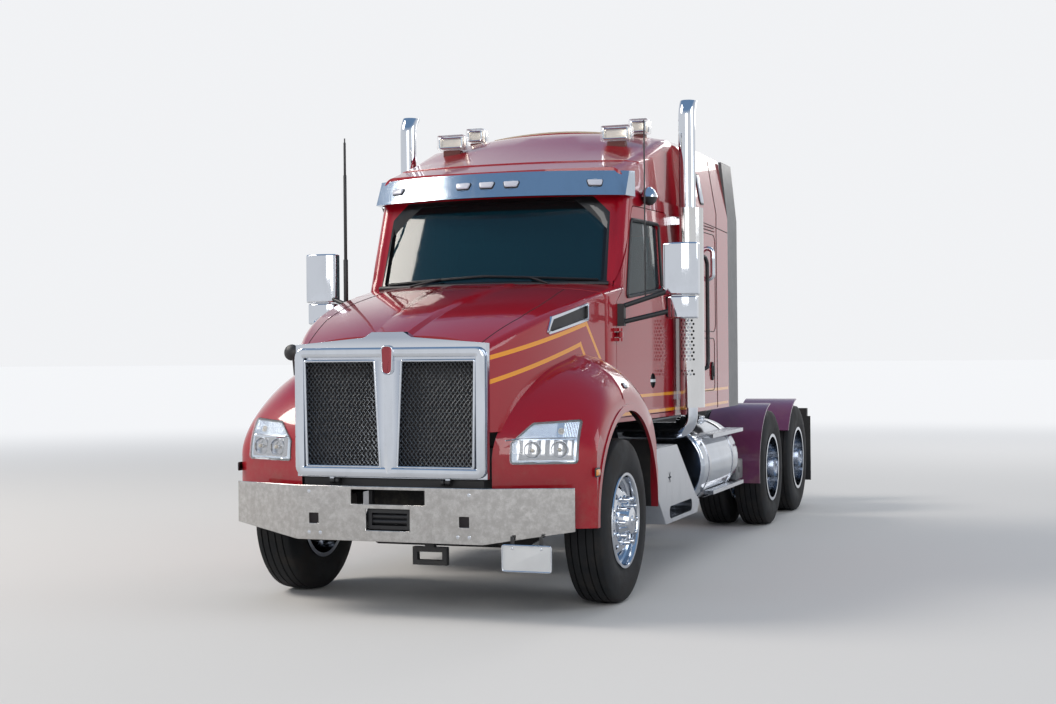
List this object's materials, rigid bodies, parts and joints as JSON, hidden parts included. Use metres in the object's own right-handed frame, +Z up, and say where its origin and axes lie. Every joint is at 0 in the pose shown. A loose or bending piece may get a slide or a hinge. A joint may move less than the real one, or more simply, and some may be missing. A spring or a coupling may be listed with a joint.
{
  "type": "semi truck tractor unit",
  "caption": "Long nose road tractor with high roof sleeper, tandem drive axles, fifth wheel, tilting hood, steering front wheels and opening doors.",
  "frame": {"origin": "middle of the box around the truck, on the ground under the tyres", "axes": "+X to the truck's left, +Y towards its rear, +Z up"},
  "size_m": [2.994, 7.9, 3.4998],
  "materials": {
    "body_paint": "deep red gloss paint with yellow stripes",
    "frame_black": "satin black",
    "bumper_chrome": "polished",
    "grille_chrome": "polished",
    "mesh": "woven wire",
    "lamp_clear": "clear lens over bright reflectors",
    "vent_dark": "dark mesh in a bright frame",
    "tyre_rubber": "road tread",
    "rim_alloy": "polished",
    "cast": "painted casting",
    "glass": "tinted",
    "extender_grey": "dark grey panel",
    "interior": "dark grey",
    "seat_cloth": "dark woven cloth",
    "tank_alloy": "polished",
    "step_alloy": "polished plate",
    "stack_chrome": "polished",
    "shield_steel": "polished and perforated",
    "mirror_chrome": "polished housing",
    "visor_metal": "polished sheet",
    "plate_steel": "greased steel",
    "flap_rubber": "moulded",
    "fender_red": "dark red"
  },
  "bodies": {
    "chassis": {"frame_rails": "frame_black", "crossmembers": "frame_black", "bumper": "bumper_chrome", "winch": "frame_black", "tow_loop": "frame_black", "hood_hinge": "frame_black", "engine_block": "cast", "radiator": "frame_black", "front_axle": "cast", "suspension": "frame_black", "drive_axles": "cast", "drive_shaft": "cast", "cab_shell": "body_paint", "windshield": "glass", "roof_cap": "body_paint", "sleeper_shell": "body_paint", "side_extenders": "extender_grey", "sun_visor": "visor_metal", "visor_lights": "lamp_clear", "beacons": "lamp_clear", "dashboard": "interior", "steering_wheel": "interior", "seats": "seat_cloth", "fuel_tanks": "tank_alloy", "tank_straps": "step_alloy", "step_boxes": "step_alloy", "exhaust_stacks": "stack_chrome", "heat_shields": "shield_steel", "fifth_wheel_base": "frame_black", "drive_fenders": "fender_red", "tail_beam": "frame_black", "mud_flaps": "flap_rubber"},
    "hood_body": {"hood": "body_paint", "grille_surround": "grille_chrome", "grille_mesh": "mesh", "headlights": "lamp_clear", "hood_vents": "vent_dark"},
    "door_left_body": {"door_left": "body_paint", "door_glass_left": "glass", "mirror_left": "mirror_chrome"},
    "door_right_body": {"door_right": "body_paint", "door_glass_right": "glass", "mirror_right": "mirror_chrome"},
    "steer_left": {"knuckle_left": "cast"},
    "steer_right": {"knuckle_right": "cast"},
    "wheel_front_left": {"tyre_front_left": "tyre_rubber", "rim_front_left": "rim_alloy"},
    "wheel_front_right": {"tyre_front_right": "tyre_rubber", "rim_front_right": "rim_alloy"},
    "fifth_wheel": {"fifth_wheel_plate": "plate_steel"},
    "wheel_first_left": {"tyres_first_left": "tyre_rubber", "rims_first_left": "rim_alloy"},
    "wheel_first_right": {"tyres_first_right": "tyre_rubber", "rims_first_right": "rim_alloy"},
    "wheel_second_left": {"tyres_second_left": "tyre_rubber", "rims_second_left": "rim_alloy"},
    "wheel_second_right": {"tyres_second_right": "tyre_rubber", "rims_second_right": "rim_alloy"}
  },
  "joints": [
    {"name": "hood_tilt", "type": "hinge", "parent": "chassis", "child": "hood_body", "pos_m": [0, -3.91, 0.83], "axis": [1, 0, 0], "range_deg": [0, 60]},
    {"name": "door_left_swing", "type": "hinge", "parent": "chassis", "child": "door_left_body", "pos_m": [0.992, -2.309, 1.6], "axis": [0, 0, -1], "range_deg": [0, 65]},
    {"name": "door_right_swing", "type": "hinge", "parent": "chassis", "child": "door_right_body", "pos_m": [-0.992, -2.309, 1.6], "axis": [0, 0, 1], "range_deg": [0, 65]},
    {"name": "steer_left", "type": "hinge", "parent": "chassis", "child": "steer_left", "pos_m": [0.9, -2.94, 0.525], "axis": [0, 0, 1], "range_deg": [-40, 40]},
    {"name": "steer_right", "type": "hinge", "parent": "chassis", "child": "steer_right", "pos_m": [-0.9, -2.94, 0.525], "axis": [0, 0, 1], "range_deg": [-40, 40]},
    {"name": "roll_front_left", "type": "hinge", "parent": "steer_left", "child": "wheel_front_left", "pos_m": [1.075, -2.94, 0.525], "axis": [1, 0, 0], "continuous": true},
    {"name": "roll_front_right", "type": "hinge", "parent": "steer_right", "child": "wheel_front_right", "pos_m": [-1.075, -2.94, 0.525], "axis": [1, 0, 0], "continuous": true},
    {"name": "fifth_wheel_tilt", "type": "hinge", "parent": "chassis", "child": "fifth_wheel", "pos_m": [0, 2.46, 1.11], "axis": [1, 0, 0], "range_deg": [-12, 12]},
    {"name": "roll_first_left", "type": "hinge", "parent": "chassis", "child": "wheel_first_left", "pos_m": [0.92, 1.8, 0.525], "axis": [1, 0, 0], "continuous": true},
    {"name": "roll_first_right", "type": "hinge", "parent": "chassis", "child": "wheel_first_right", "pos_m": [-0.92, 1.8, 0.525], "axis": [1, 0, 0], "continuous": true},
    {"name": "roll_second_left", "type": "hinge", "parent": "chassis", "child": "wheel_second_left", "pos_m": [0.92, 3.12, 0.525], "axis": [1, 0, 0], "continuous": true},
    {"name": "roll_second_right", "type": "hinge", "parent": "chassis", "child": "wheel_second_right", "pos_m": [-0.92, 3.12, 0.525], "axis": [1, 0, 0], "continuous": true}
  ],
  "couplings": [
    {"joint": "steer_right", "follows": "steer_left", "ratio": 1}
  ]
}
